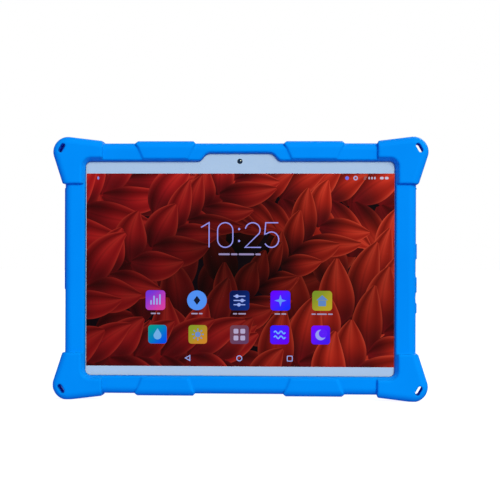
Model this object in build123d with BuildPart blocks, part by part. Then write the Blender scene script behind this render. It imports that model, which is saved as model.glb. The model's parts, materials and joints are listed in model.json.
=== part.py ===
from build123d import *
import math
import os

# A 10-inch tablet in a silicone bumper case. Millimetres. Seen from the screen side, X runs to the
# right and Z up, and the screen faces -Y. The tablet stands on the flats of its two lower bumpers.

# --- Bumper case -------------------------------------------------------------------------------
nose_out_x = 8.5            # how far a corner bumper stands out beside the short rails
nose_out_z = 4.5            # and above or below the long rails
bumper_depth = 19.0         # front to back over a corner bumper
case_wall = 3.0             # silicone beside the tablet
case_back = 2.4             # silicone behind the tablet
case_lip = 1.8              # silicone over the edge of the glass
case_corner_r = 12.0
case_edge_r = 5.0           # rounding of the outer edges of rails, bumpers and pads
case_fit = 0.1              # play between the tablet and its pocket

nose_r = 10.6               # round nose of a corner bumper
foot_flat = 0.3             # depth of the flat under a lower nose
bumper_reach_x = 35.5       # length of a bumper's arm along the long rail
bumper_reach_z = 33.3       # length of a bumper's arm along the short rail
bumper_slope = 6.9          # degrees, fall of a bumper's outer edge along the long rail
bumper_lean = 17.9          # degrees, fall of a bumper's outer edge along the short rail
bumper_end_r = 1.4
bumper_edge_r = 1.2         # rounding of a bumper's other edges

lanyard_l = 7.0             # slot through each bumper's nose
lanyard_w = 3.2
lanyard_lean = 60.0         # degrees from level
lanyard_out_x = 4.0         # slot centre from the nose's centre
lanyard_out_z = 2.5

pad_x = 52.5                # centre of a rail pad from the middle
top_pad_w = 42.7            # outer and inner length of a pad on the upper rail
top_pad_inner_w = 31.8
bottom_pad_w = 42.9         # the same on the lower rail
bottom_pad_inner_w = 33.2
pad_out = 1.5               # how far a pad stands out of the rail's outer face
pad_proud = 1.2             # how far it stands out of the rail's front and back
pad_slant = 1.8             # cut corner at each outer end
pad_taper = 45.0
pad_gap = 0.5               # from the screen opening to a pad
pad_edge_r = 0.7

lip_reach_x = 12.0          # how far the case reaches over the tablet's face
lip_reach_z = 10.0
opening_r = 3.8
opening_slant = 36.0        # degrees, bevel from the glass out to the case's front faces
notch_w = 55.4              # camera notch in the upper lip
notch_top_w = 46.0
notch_h = 5.6
notch_r = 4.4
notch_top_r = 5.6

grip_proud = 0.7            # raised grip strip along each short rail
grip_depth = 4.0
grip_gap = 2.5              # from an upper bumper to the upper end of a strip
grip_left_l = 72.5
grip_right_l = 88.5

rib_l = 34.0                # grip ribs on the case's back
rib_w = 2.4
rib_proud = 0.8
rib_pitch = 6.4
rib_count = 11
rib_x = 84.0
panel_w = 112.0             # sunk panel between the ribs
panel_h = 78.0
panel_r = 10.0
panel_sink = 0.6

# --- Tablet ------------------------------------------------------------------------------------
border_x = 12.52            # from the lit area to the tablet's edges
border_z = 17.7
tablet_t = 9.8
tablet_r = 9.0
housing_wall = 1.6
housing_floor = 1.3
housing_edge_r = 2.2
skirt_t = 1.0               # snap skirt of the front frame inside the housing
skirt_h = 0.8
joint_gap = 0.1             # play between the fixed pieces of the tablet

glass_t = 1.0
glass_rim = 1.2             # frame around the glass
glass_edge = 0.25           # polished bevel at the front of the glass
print_t = 0.1               # white border printed behind the glass
print_margin = 0.6
sensor_t = 0.3
frame_ledge_t = 1.2

screen_w = 216.96           # lit area, 10.1 inches at 16:10
screen_h = 135.6
screen_drop = 1.0           # screen centre below the middle
window_margin = 0.3         # unprinted strip around the lit area
sensor_margin_x = 3.5
sensor_margin_z = 2.0
module_margin_x = 6.02      # display module around the lit area
module_margin_z = 3.95
module_shift = 0.6          # further down, for the display's connector edge
tray_sheet = 0.3
tray_flange = 2.0
lcd_t = 1.0
diffuser_t = 0.2
guide_t = 0.6
reflector_t = 0.1
led_count = 36
led_l = 3.0
led_d = 0.6
led_strip_w = 2.2
led_strip_t = 0.2

# --- Battery and boards ------------------------------------------------------------------------
battery_side_in = 43.4      # from the housing's inner walls to the two cells
battery_top_in = 29.9
battery_bottom_in = 25.9
battery_board_gap = 6.0
battery_gap = 2.0
battery_t = 3.4
battery_r = 2.0
tape_w = 50.0
tape_t = 0.2
guard_w = 50.0              # battery protection board
guard_h = 6.0
guard_t = 0.8
guard_gap = 1.5             # from the cells to their protection board
lead_d = 1.1
lead_gap = 0.9

board_w = 36.0              # mainboard
board_key_gap = 6.0         # from its upper edge to the key board
board_t = 0.8
board_r = 1.5
board_side_in = 3.4         # from the housing's inner walls to the board
board_bottom_in = 21.9
boss_h = 1.1
boss_r = 2.2
board_screw_in_x = 2.6      # screw centre from the board's edge
board_screw_in_z = 2.6
board_screw_r = 0.7
board_screw_head_r = 1.5
board_screw_head_h = 0.6

can_h = 1.5                 # shield cans
can_sheet = 0.2
can_r = 1.0
chip_h = 1.0
# Cans and chips: right of the board's middle, down from its upper edge, width, height.
cpu_can = (-4.5, 14.0, 22.0, 20.0)
radio_can = (-7.0, 35.0, 15.0, 15.0)
processor_at = (-8.5, 12.0, 11.0, 11.0)
memory_at = (2.0, 14.0, 6.0, 7.5)
memory_count = 2
memory_pitch = 9.0
wireless_at = (-7.0, 35.0, 7.0, 7.0)
power_x = -10.0             # the power chip, from the board's middle
power_up = 14.0             # and from its lower edge
power_w = 8.0

frame_boss_r = 2.0          # screw bosses of the front frame
frame_boss_top_in = 3.7     # from the housing's inner walls
frame_boss_bottom_in = 3.3
frame_boss_side_in = 9.4
frame_boss_x = 38.0         # the inner ones, from the middle
screw_r = 0.8
screw_head_r = 1.6
screw_head_h = 0.7
screw_grip = 3.2            # thread length in the boss

# --- Keys, ports and cameras -------------------------------------------------------------------
run = 0.25                  # play around what moves
key_y = 0.8                 # keys' height in the housing's wall, front to back
key_t = 2.4
key_proud = 0.7
key_flange = 0.8
key_flange_t = 0.5
key_travel = 0.35
key_l = 9.0
power_drop = 7.5            # from the grip strip's upper end to the power key's middle
volume_up_drop = 14.0       # from the key above
volume_down_drop = 11.5
nub_t = 0.5
plunger_r = 0.8
plunger_l = 0.9
switch_w = 3.4
switch_t = 1.6
key_board_t = 0.8
key_board_h = 3.6
key_board_rib_t = 0.8
key_window_margin = 2.5
window_side = 2.1           # from a key, plug or tray to its window in the case, front to back

port_y = 0.0
usb_drop = 13.0             # ports from the mainboard's upper edge
usb_w = 7.6
usb_h = 2.8
usb_l = 5.6
usb_sheet = 0.3
usb_window_margin = 2.7
jack_drop = 34.0
jack_y = 0.8
jack_w = 6.4
jack_h = 4.6
jack_l = 13.0
jack_nose_r = 2.4
jack_bore_r = 1.8
jack_bore_l = 12.0
mic_drop = 25.0
mic_w = 3.0
mic_h = 1.1
mic_hole_r = 0.5
mic_window_r = 1.4

card_drop = 56.0            # card tray
card_y = 0.5
card_w = 12.6
card_t = 0.9
card_l = 20.0
card_face_w = 15.0
card_face_h = 2.4
card_pin_r = 0.45
card_bed_l = 12.0           # opening in the tray for the card
card_bed_w = 9.5
card_window_margin = 2.0
socket_sheet = 0.2

front_camera_top_in = 9.8   # from the tablet's edge
front_camera_w = 5.6
front_barrel_r = 2.1
front_lens_r = 1.5
front_lens_t = 0.4
print_hole_r = 1.9
rear_camera_side_in = 55.0
rear_camera_top_in = 17.5
rear_camera_w = 8.5
rear_camera_r = 1.0
rear_barrel_r = 3.1
rear_window_r = 4.3
rear_window_t = 0.8
rear_window_w = 17.0        # window in the case around the rear camera
rear_window_h = 13.0
rear_window_corner = 4.0

speaker_side_in = 25.4      # from the housing's inner walls
speaker_bottom_in = 14.4
speaker_w = 26.0
speaker_h = 13.0
speaker_t = 3.4
speaker_r = 1.5
mesh_t = 0.2
mesh_w = 18.0
mesh_h = 8.0
mesh_r = 1.0
grille_r = 0.6
grille_pitch = 2.4
grille_column_count = 7
grille_row_count = 3
sound_slot_l = 18.0         # sound slots in the case's back
sound_slot_w = 2.4
sound_slot_pitch = 3.6

motor_side_in = 19.4        # vibration motor, from the housing's left wall
motor_z = 30.0
motor_r = 2.0
motor_l = 8.0
motor_shaft_r = 0.4
weight_r = 2.1
weight_l = 3.4
weight_gap = 0.5
cradle_w = 7.0

antenna_t = 0.15
wifi_side_in = 27.4         # printed antennas on the housing's floor
wifi_top_in = 13.9
wifi_w = 38.0
wifi_h = 10.0
wifi_slot_w = 26.0
wifi_slot_h = 3.0
wifi_slot_in = 4.0          # the slot's shift towards the corner
wifi_slot_up = 1.5
cell_bottom_in = 11.9
cell_w = 60.0
cell_h = 8.0
cell_slot_w = 14.0
cell_slot_h = 3.0
cell_slot_pitch = 20.0
cell_slot_count = 3

flex_t = 0.15               # flat cables
flex_w = 12.0
flex_ramp = 2.0             # height over which a cable steps down to the board
flex_land = 4.0             # length lying on the board
display_flex_x = -6.0       # cable's middle from the board's middle
display_flex_l = 7.0        # length lying on the display module
display_flex_in = 3.0       # from the board's lower edge to where it steps down
touch_flex_w = 6.0
touch_flex_x = -8.0
touch_flex_l = 9.0
touch_flex_out = 3.0        # from the board's upper edge to where it steps down
camera_flex_w = 4.0
camera_flex_drop = 15.7     # from the camera to the cable's run over the battery
camera_flex_x = 6.0         # its way down, from the board's middle
camera_flex_out = 6.0       # from its end to the board's upper edge
tiny = 0.05                 # play that keeps thin sheets of different stacks apart

# --- Derived places ----------------------------------------------------------------------------
tablet_w = screen_w + 2 * border_x
tablet_h = screen_h + 2 * border_z
rail_w = tablet_w + 2 * case_wall
rail_h = tablet_h + 2 * case_wall
overall_w = rail_w + 2 * nose_out_x
overall_h = rail_h + 2 * nose_out_z
middle_z = overall_h / 2
opening_w = tablet_w - 2 * lip_reach_x
opening_h = tablet_h - 2 * lip_reach_z
module_w = screen_w + 2 * module_margin_x
module_h = screen_h + 2 * module_margin_z
module_drop = screen_drop + module_shift
rail_t = case_lip + tablet_t + case_back
rail_front = -rail_t / 2
glass_y = rail_front + case_lip
tablet_back = glass_y + tablet_t
print_y = glass_y + glass_t
sensor_y = print_y + print_t
ledge_y = sensor_y + sensor_t
parting_y = ledge_y + frame_ledge_t
diffuser_y = ledge_y + lcd_t
guide_y = diffuser_y + diffuser_t
reflector_y = guide_y + guide_t
tray_floor_y = reflector_y + reflector_t
tray_back = tray_floor_y + tray_sheet
floor_y = tablet_back - housing_floor
board_back = floor_y - boss_h
board_front = board_back - board_t
inner_w = tablet_w - 2 * housing_wall
inner_h = tablet_h - 2 * housing_wall
inner_r = tablet_r - housing_wall
inner_top = inner_h / 2
wall_in = inner_w / 2
wall_out = tablet_w / 2
glass_w = tablet_w - 2 * (glass_rim + joint_gap)
glass_h = tablet_h - 2 * (glass_rim + joint_gap)
glass_r = tablet_r - glass_rim - joint_gap
sensor_w = screen_w + 2 * sensor_margin_x
sensor_h = screen_h + 2 * sensor_margin_z
board_right = wall_in - board_side_in
board_mid_x = board_right - board_w / 2
board_bottom = board_bottom_in - inner_top
battery_left_x = battery_side_in - wall_in
battery_right_x = board_right - board_w - battery_board_gap
battery_w = (battery_right_x - battery_left_x - battery_gap) / 2
battery_h = inner_h - battery_top_in - battery_bottom_in
battery_mid_x = (battery_left_x + battery_right_x) / 2
battery_mid_z = (battery_bottom_in - battery_top_in) / 2
battery_front = floor_y - tape_t - battery_t
guard_z = battery_mid_z + battery_h / 2 + guard_gap + guard_h / 2
grip_top = overall_h / 2 - bumper_reach_z - grip_gap
power_z = grip_top - power_drop
volume_up_z = power_z - volume_up_drop
volume_down_z = volume_up_z - volume_down_drop
key_board_top = power_z + key_l / 2
key_board_bottom = volume_down_z - key_l / 2
key_board_mid = (key_board_top + key_board_bottom) / 2
key_board_len = key_board_top - key_board_bottom
board_top = key_board_bottom - board_key_gap
board_h = board_top - board_bottom
board_mid_z = (board_top + board_bottom) / 2
usb_z = board_top - usb_drop
jack_z = board_top - jack_drop
mic_z = board_top - mic_drop
card_z = board_top - card_drop
front_camera_z = tablet_h / 2 - front_camera_top_in
rear_camera_x = wall_out - rear_camera_side_in
rear_camera_z = tablet_h / 2 - rear_camera_top_in
speaker_x = wall_in - speaker_side_in
speaker_z = speaker_bottom_in - inner_top
motor_x = motor_side_in - wall_in
key_window_h = key_t + 2 * window_side
usb_window_w = usb_w + 2 * usb_window_margin
usb_window_h = usb_h + 2 * window_side
jack_window_r = jack_nose_r + window_side
card_window_w = card_face_w + 2 * card_window_margin
card_window_h = card_face_h + 2 * window_side
port_window_depth = case_wall + grip_proud + case_fit + tiny
switch_gap = key_travel + run


def layer(y):
    """Plane facing the viewer at depth y, with its origin at mid-height. Extruding by a negative
    amount goes back into the tablet."""
    return Plane(origin=(0, y, middle_z), x_dir=(1, 0, 0), z_dir=(0, -1, 0))


def side(x):
    """Plane facing right at x, with its origin at mid-height. Its local x is the depth."""
    return Plane(origin=(x, 0, middle_z), x_dir=(0, 1, 0), z_dir=(1, 0, 0))


mid_plane = Plane.XY.offset(middle_z)


def save(piece, label):
    piece.part.label = label
    export_step(piece.part, f"parts/{label}.step")


os.makedirs("parts", exist_ok=True)


# --- Silicone bumper case ----------------------------------------------------------------------
def corner_bumper(nose_z):
    """Upper right corner bumper: an L that hugs the screen opening's corner and ends in a round
    nose, whose centre is nose_z above the middle."""
    nose_x = overall_w / 2 - nose_r
    top_normal = 90 + bumper_slope
    half_turn = math.radians((top_normal + bumper_lean) / 2)
    bisector = math.radians((top_normal - bumper_lean) / 2)
    apex_reach = nose_r / math.cos(half_turn)
    apex_x = nose_x + apex_reach * math.cos(bisector)
    apex_z = nose_z + apex_reach * math.sin(bisector)
    arm_x = overall_w / 2 - bumper_reach_x
    arm_z = overall_h / 2 - bumper_reach_z
    arm_top = apex_z - (apex_x - arm_x) * math.tan(math.radians(bumper_slope))
    arm_side = apex_x - (apex_z - arm_z) * math.tan(math.radians(bumper_lean))
    inner_x = opening_w / 2 - opening_r
    inner_z = opening_h / 2 - opening_r
    outline = [
        (arm_x, arm_top),
        (apex_x, apex_z),
        (arm_side, arm_z),
        (inner_x, arm_z),
        (inner_x, inner_z),
        (arm_x, inner_z),
    ]
    radii = [bumper_end_r, nose_r, bumper_end_r, 0, 0, 0]
    # The same outer edges, run on past both arms and rounded as one.
    far_x = arm_x - bumper_reach_x
    far_z = arm_z - bumper_reach_z
    far_top = apex_z - (apex_x - far_x) * math.tan(math.radians(bumper_slope))
    far_side = apex_x - (apex_z - far_z) * math.tan(math.radians(bumper_lean))
    with BuildPart() as rounded:
        with BuildSketch(layer(0)):
            with BuildLine():
                FilletPolyline(
                    (far_x, far_top),
                    (apex_x, apex_z),
                    (far_side, far_z),
                    (far_x, far_z),
                    radius=[0, nose_r, 0, 0],
                    close=True,
                )
            make_face()
        extrude(amount=bumper_depth / 2)
        front_edges = rounded.edges().group_by(Axis.Y)[0]
        inner_edges = [front_edges.sort_by(Axis.X)[0], front_edges.sort_by(Axis.Z)[0]]
        fillet([edge for edge in front_edges if edge not in inner_edges], case_edge_r)
    with BuildPart() as bumper:
        with BuildSketch(layer(0)):
            with BuildLine():
                FilletPolyline(*outline, radius=radii, close=True)
            make_face()
        extrude(amount=bumper_depth / 2)
        with BuildSketch(layer(glass_y)):
            RectangleRounded(opening_w, opening_h, opening_r)
        extrude(amount=bumper_depth / 2 + glass_y, taper=-opening_slant, mode=Mode.SUBTRACT)
        with BuildSketch(layer(glass_y)):
            RectangleRounded(opening_w, opening_h, opening_r)
        extrude(amount=glass_y, mode=Mode.SUBTRACT)
        fillet(bumper.edges().group_by(Axis.Y)[0], bumper_edge_r)
        add(rounded.part, mode=Mode.INTERSECT)
        mirror(about=Plane.XZ)
    return bumper.part


def rail_pad(outer_w, inner_w):
    """Pad on the upper rail, centred on X = 0: it tapers towards the screen and shares the bevel of
    the screen opening."""
    pad_inner = opening_h / 2 + pad_gap
    pad_outer = rail_h / 2 + pad_out
    outline = [
        (-inner_w / 2, pad_inner),
        (-outer_w / 2, pad_outer - pad_slant),
        (pad_slant - outer_w / 2, pad_outer),
        (outer_w / 2 - pad_slant, pad_outer),
        (outer_w / 2, pad_outer - pad_slant),
        (inner_w / 2, pad_inner),
    ]
    with BuildPart() as rounded:
        with BuildSketch(layer(0)):
            Rectangle(2 * outer_w, 2 * pad_outer)
        extrude(amount=rail_t / 2 + pad_proud)
        fillet(rounded.edges().group_by(Axis.Y)[0].sort_by(Axis.Z)[-1], case_edge_r)
    with BuildPart() as pad:
        with BuildSketch(layer(0)):
            with BuildLine():
                Polyline(*outline, close=True)
            make_face()
        extrude(amount=rail_t / 2)
        extrude(pad.faces().sort_by(Axis.Y)[0], amount=pad_proud, taper=pad_taper)
        with BuildSketch(layer(glass_y)):
            Rectangle(2 * outer_w, opening_h)
        extrude(amount=case_lip + pad_proud, taper=-opening_slant, mode=Mode.SUBTRACT)
        fillet(pad.edges().group_by(Axis.Y)[0], pad_edge_r)
        add(rounded.part, mode=Mode.INTERSECT)
        mirror(about=Plane.XZ)
    return pad.part


upper_bumper = corner_bumper(overall_h / 2 - nose_r)
lower_bumper = mirror(corner_bumper(overall_h / 2 - nose_r + foot_flat), about=mid_plane)
upper_pad = rail_pad(top_pad_w, top_pad_inner_w)
lower_pad = mirror(rail_pad(bottom_pad_w, bottom_pad_inner_w), about=mid_plane)

with BuildPart() as pocket:
    with BuildSketch(layer(glass_y)):
        RectangleRounded(tablet_w + 2 * case_fit, tablet_h + 2 * case_fit, tablet_r + case_fit)
    extrude(amount=-tablet_t)
    fillet(pocket.edges().group_by(Axis.Y)[-1], housing_edge_r)

with BuildPart() as screen_opening:
    with BuildSketch(layer(glass_y)):
        with BuildLine():
            FilletPolyline(
                (-opening_w / 2, -opening_h / 2),
                (opening_w / 2, -opening_h / 2),
                (opening_w / 2, opening_h / 2),
                (notch_w / 2, opening_h / 2),
                (notch_top_w / 2, opening_h / 2 + notch_h),
                (-notch_top_w / 2, opening_h / 2 + notch_h),
                (-notch_w / 2, opening_h / 2),
                (-opening_w / 2, opening_h / 2),
                radius=[opening_r] * 3 + [notch_r, notch_top_r, notch_top_r, notch_r, opening_r],
                close=True,
            )
        make_face()
    extrude(amount=case_lip + pad_proud, taper=-opening_slant)

with BuildPart() as silicone_case:
    with BuildSketch(layer(0)):
        RectangleRounded(rail_w, rail_h, case_corner_r)
    extrude(amount=rail_t / 2, both=True)
    rail_edges = silicone_case.edges().group_by(Axis.Y)
    fillet(rail_edges[0] + rail_edges[-1], case_edge_r)
    for grip_l, direction in ((grip_right_l, 1), (grip_left_l, -1)):
        grip_plane = Plane(
            origin=(direction * rail_w / 2, 0, middle_z),
            x_dir=(0, direction, 0),
            z_dir=(direction, 0, 0),
        )
        with BuildSketch(grip_plane):
            with Locations((0, grip_top - grip_l / 2)):
                Rectangle(grip_depth, grip_l)
        extrude(amount=grip_proud, taper=pad_taper)
    for bumper in (upper_bumper, lower_bumper):
        add(bumper)
        add(mirror(bumper, about=Plane.YZ, mode=Mode.PRIVATE))
    for pad in (upper_pad, lower_pad):
        for pad_side in (-1, 1):
            add(pad.moved(Location((pad_side * pad_x, 0, 0))))
    with BuildSketch(Plane.XY):
        Rectangle(overall_w, bumper_depth)
    extrude(amount=-foot_flat, mode=Mode.SUBTRACT)
    with BuildSketch(layer(rail_t / 2)):
        for rib_side in (-1, 1):
            with Locations((rib_side * rib_x, 0)):
                with GridLocations(0, rib_pitch, 1, rib_count):
                    SlotOverall(rib_l, rib_w)
    extrude(amount=-rib_proud)
    with BuildSketch(layer(rail_t / 2)):
        RectangleRounded(panel_w, panel_h, panel_r)
    extrude(amount=panel_sink, mode=Mode.SUBTRACT)
    add(pocket.part, mode=Mode.SUBTRACT)
    add(screen_opening.part, mode=Mode.SUBTRACT)
    nose_x = overall_w / 2 - nose_r
    nose_top = overall_h / 2 - nose_r
    with BuildSketch(layer(0)):
        for slot_side in (-1, 1):
            for slot_end, slot_z in ((1, nose_top), (-1, nose_top + foot_flat)):
                slot_x = slot_side * (nose_x + lanyard_out_x)
                lean = -slot_side * slot_end * lanyard_lean
                with Locations((slot_x, slot_end * (slot_z + lanyard_out_z))):
                    SlotOverall(lanyard_l, lanyard_w, rotation=lean)
    extrude(amount=bumper_depth, both=True, mode=Mode.SUBTRACT)
    key_window_top = power_z + key_l / 2 + key_window_margin
    key_window_bottom = volume_down_z - key_l / 2 - key_window_margin
    with BuildSketch(side(rail_w / 2 + grip_proud)):
        with Locations((key_y, (key_window_top + key_window_bottom) / 2)):
            RectangleRounded(key_window_h, key_window_top - key_window_bottom, key_window_h / 3)
        with Locations((port_y, usb_z)):
            RectangleRounded(usb_window_h, usb_window_w, usb_window_h / 3)
        with Locations((jack_y, jack_z)):
            Circle(jack_window_r)
        with Locations((port_y, mic_z)):
            Circle(mic_window_r)
        with Locations((card_y, card_z)):
            RectangleRounded(card_window_h, card_window_w, card_window_h / 3)
    extrude(amount=-port_window_depth, mode=Mode.SUBTRACT)
    with BuildSketch(layer(tablet_back)):
        with Locations((rear_camera_x, rear_camera_z)):
            RectangleRounded(rear_window_w, rear_window_h, rear_window_corner)
        for speaker_side in (-1, 1):
            with Locations((speaker_side * speaker_x, speaker_z)):
                with GridLocations(0, sound_slot_pitch, 1, grille_row_count):
                    SlotOverall(sound_slot_l, sound_slot_w)
    extrude(amount=-(case_back + rib_proud), mode=Mode.SUBTRACT)
save(silicone_case, "silicone_case")


# --- Rear housing ------------------------------------------------------------------------------
frame_boss_zs = (inner_top - frame_boss_top_in, frame_boss_bottom_in - inner_top)
frame_bosses = [
    (boss_side * boss_x, boss_z)
    for boss_side in (-1, 1)
    for boss_x in (frame_boss_x, wall_in - frame_boss_side_in)
    for boss_z in frame_boss_zs
]
board_screw_x = board_w / 2 - board_screw_in_x
board_screw_z = board_h / 2 - board_screw_in_z
board_screws_at = [
    (board_mid_x - board_screw_x, board_mid_z + board_screw_z),
    (board_mid_x + board_screw_x, board_mid_z + board_screw_z),
    (board_mid_x - board_screw_x, board_mid_z - board_screw_z),
    (board_mid_x + board_screw_x, board_mid_z - board_screw_z),
]
key_zs = {"power_key": power_z, "volume_up_key": volume_up_z, "volume_down_key": volume_down_z}
flange_in = wall_in - run - key_flange_t
nub_in = flange_in - nub_t
switch_face = nub_in - switch_gap
key_board_face = switch_face - switch_t
key_board_back = key_board_face - key_board_t

with BuildPart() as rear_housing:
    with BuildSketch(layer(parting_y)):
        RectangleRounded(tablet_w, tablet_h, tablet_r)
    extrude(amount=parting_y - tablet_back)
    fillet(rear_housing.edges().group_by(Axis.Y)[-1], housing_edge_r)
    with BuildSketch(layer(parting_y)):
        RectangleRounded(inner_w, inner_h, inner_r)
    extrude(amount=parting_y - floor_y, mode=Mode.SUBTRACT)
    with BuildSketch(layer(board_back)):
        with Locations(*board_screws_at):
            Circle(boss_r)
            Circle(board_screw_r, mode=Mode.SUBTRACT)
    extrude(amount=board_back - floor_y)
    with BuildSketch(layer(key_y - key_board_h / 2)):
        with Locations((key_board_back - key_board_rib_t / 2, key_board_mid)):
            Rectangle(key_board_rib_t, key_board_len)
        with Locations((key_board_back + key_board_t / 2, key_board_mid)):
            Rectangle(key_board_t, key_board_len, mode=Mode.SUBTRACT)
    extrude(amount=key_y - key_board_h / 2 - floor_y)
    with BuildSketch(layer(floor_y)):
        with Locations(*frame_bosses):
            Circle(screw_r)
        with Locations((rear_camera_x, rear_camera_z)):
            Circle(rear_barrel_r)
        for speaker_side in (-1, 1):
            with Locations((speaker_side * speaker_x, speaker_z)):
                with GridLocations(grille_pitch, grille_pitch, grille_column_count, grille_row_count):
                    Circle(grille_r)
    extrude(amount=-housing_floor, mode=Mode.SUBTRACT)
    with BuildSketch(layer(tablet_back)):
        with Locations(*frame_bosses):
            Circle(screw_head_r)
    extrude(amount=screw_head_h, mode=Mode.SUBTRACT)
    with BuildSketch(layer(tablet_back)):
        with Locations((rear_camera_x, rear_camera_z)):
            Circle(rear_window_r)
    extrude(amount=rear_window_t, mode=Mode.SUBTRACT)
    with BuildSketch(side(wall_out)):
        for key_z in key_zs.values():
            with Locations((key_y, key_z)):
                RectangleRounded(key_t + 2 * run, key_l + 2 * run, key_t / 2 + run - tiny)
        with Locations((port_y, usb_z)):
            RectangleRounded(usb_h + 2 * joint_gap, usb_w + 2 * joint_gap, usb_h / 3)
        with Locations((jack_y, jack_z)):
            Circle(jack_nose_r + joint_gap)
        with Locations((port_y, mic_z)):
            Circle(mic_hole_r)
        with Locations((card_y, card_z)):
            RectangleRounded(card_face_h + 2 * run, card_face_w + 2 * run, card_face_h / 2)
    extrude(amount=-housing_wall, mode=Mode.SUBTRACT)
save(rear_housing, "rear_housing")


# --- Front frame -------------------------------------------------------------------------------
boss_end_y = floor_y - joint_gap
with BuildPart() as front_frame:
    with BuildSketch(layer(glass_y)):
        RectangleRounded(tablet_w, tablet_h, tablet_r)
    extrude(amount=glass_y - parting_y)
    with BuildSketch(layer(glass_y)):
        RectangleRounded(
            tablet_w - 2 * glass_rim, tablet_h - 2 * glass_rim, tablet_r - glass_rim
        )
    extrude(amount=glass_y - ledge_y, mode=Mode.SUBTRACT)
    with BuildSketch(layer(ledge_y)):
        with Locations((0, -module_drop)):
            Rectangle(module_w + 2 * joint_gap, module_h + 2 * joint_gap)
        with Locations((0, front_camera_z)):
            Circle(front_barrel_r + joint_gap)
    extrude(amount=ledge_y - parting_y, mode=Mode.SUBTRACT)
    with BuildSketch(layer(parting_y)):
        RectangleRounded(
            inner_w - 2 * joint_gap, inner_h - 2 * joint_gap, inner_r - joint_gap
        )
        RectangleRounded(
            inner_w - 2 * joint_gap - 2 * skirt_t,
            inner_h - 2 * joint_gap - 2 * skirt_t,
            inner_r - joint_gap - skirt_t,
            mode=Mode.SUBTRACT,
        )
    extrude(amount=-skirt_h)
    with BuildSketch(layer(parting_y)):
        with Locations(*frame_bosses):
            Circle(frame_boss_r)
    extrude(amount=parting_y - boss_end_y)
    with BuildSketch(layer(boss_end_y)):
        with Locations(*frame_bosses):
            Circle(screw_r)
    extrude(amount=screw_grip, mode=Mode.SUBTRACT)
save(front_frame, "front_frame")


# --- Glass, touch sensor and display -----------------------------------------------------------
with BuildPart() as cover_glass:
    with BuildSketch(layer(glass_y)):
        RectangleRounded(glass_w, glass_h, glass_r)
    extrude(amount=-glass_t)
    chamfer(cover_glass.edges().group_by(Axis.Y)[0], glass_edge)
save(cover_glass, "cover_glass")

with BuildPart() as printed_border:
    with BuildSketch(layer(print_y)):
        RectangleRounded(
            glass_w - 2 * print_margin, glass_h - 2 * print_margin, glass_r - print_margin
        )
        with Locations((0, -screen_drop)):
            Rectangle(
                screen_w + 2 * window_margin, screen_h + 2 * window_margin, mode=Mode.SUBTRACT
            )
        with Locations((0, front_camera_z)):
            Circle(print_hole_r, mode=Mode.SUBTRACT)
    extrude(amount=-print_t)
save(printed_border, "printed_border")

with BuildPart() as touch_sensor:
    with BuildSketch(layer(sensor_y)):
        with Locations((0, -screen_drop)):
            Rectangle(sensor_w, sensor_h)
    extrude(amount=-sensor_t)
save(touch_sensor, "touch_sensor")

with BuildPart() as glass_adhesive:
    with BuildSketch(layer(sensor_y)):
        RectangleRounded(
            glass_w - 2 * print_margin, glass_h - 2 * print_margin, glass_r - print_margin
        )
        with Locations((0, -module_drop)):
            Rectangle(module_w + 2 * joint_gap, module_h + 2 * joint_gap, mode=Mode.SUBTRACT)
        with Locations((0, front_camera_z)):
            Circle(front_barrel_r + joint_gap, mode=Mode.SUBTRACT)
    extrude(amount=-sensor_t)
save(glass_adhesive, "glass_adhesive")

tray_inner_w = module_w - 2 * tray_sheet
tray_inner_h = module_h - 2 * tray_sheet
guide_h = tray_inner_h - led_strip_w - led_d
guide_z = tray_inner_h / 2 - guide_h / 2 - module_drop - tiny

with BuildPart() as lcd_panel:
    with BuildSketch(layer(ledge_y)):
        with Locations((0, -module_drop)):
            Rectangle(tray_inner_w - 2 * tiny, tray_inner_h - 2 * tiny)
    extrude(amount=-lcd_t)
save(lcd_panel, "lcd_panel")

with BuildPart() as diffuser_film:
    with BuildSketch(layer(diffuser_y)):
        with Locations((0, -module_drop)):
            Rectangle(tray_inner_w - 2 * tiny, tray_inner_h - 2 * tiny)
    extrude(amount=-diffuser_t)
save(diffuser_film, "diffuser_film")

with BuildPart() as light_guide:
    with BuildSketch(layer(guide_y)):
        with Locations((0, guide_z)):
            Rectangle(tray_inner_w - 2 * tiny, guide_h)
    extrude(amount=-guide_t)
save(light_guide, "light_guide")

with BuildPart() as reflector_film:
    with BuildSketch(layer(reflector_y)):
        with Locations((0, guide_z)):
            Rectangle(tray_inner_w - 2 * tiny, guide_h)
    extrude(amount=-reflector_t)
save(reflector_film, "reflector_film")

strip_z = -module_drop - tray_inner_h / 2 + led_strip_w / 2 + tiny
with BuildPart() as led_strip:
    with BuildSketch(layer(tray_floor_y - led_strip_t)):
        with Locations((0, strip_z)):
            Rectangle(tray_inner_w - 2 * tiny, led_strip_w)
    extrude(amount=-led_strip_t)
save(led_strip, "led_strip")

led_front = guide_y + tiny
with BuildPart() as backlight_leds:
    with BuildSketch(layer(led_front)):
        with Locations((0, strip_z + led_strip_w / 2 - led_d / 2)):
            with GridLocations(tray_inner_w / led_count, 0, led_count, 1):
                Rectangle(led_l, led_d)
    extrude(amount=led_front - (tray_floor_y - led_strip_t))
save(backlight_leds, "backlight_leds")

with BuildPart() as backlight_tray:
    with BuildSketch(layer(ledge_y)):
        with Locations((0, -module_drop)):
            Rectangle(module_w, module_h)
    extrude(amount=ledge_y - tray_back)
    with BuildSketch(layer(ledge_y)):
        with Locations((0, -module_drop)):
            Rectangle(tray_inner_w, tray_inner_h)
    extrude(amount=ledge_y - tray_floor_y, mode=Mode.SUBTRACT)
    with BuildSketch(layer(parting_y)):
        with Locations((0, -module_drop)):
            Rectangle(module_w + 2 * tray_flange, module_h + 2 * tray_flange)
            Rectangle(module_w, module_h, mode=Mode.SUBTRACT)
    extrude(amount=-tray_sheet)
save(backlight_tray, "backlight_tray")


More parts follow.
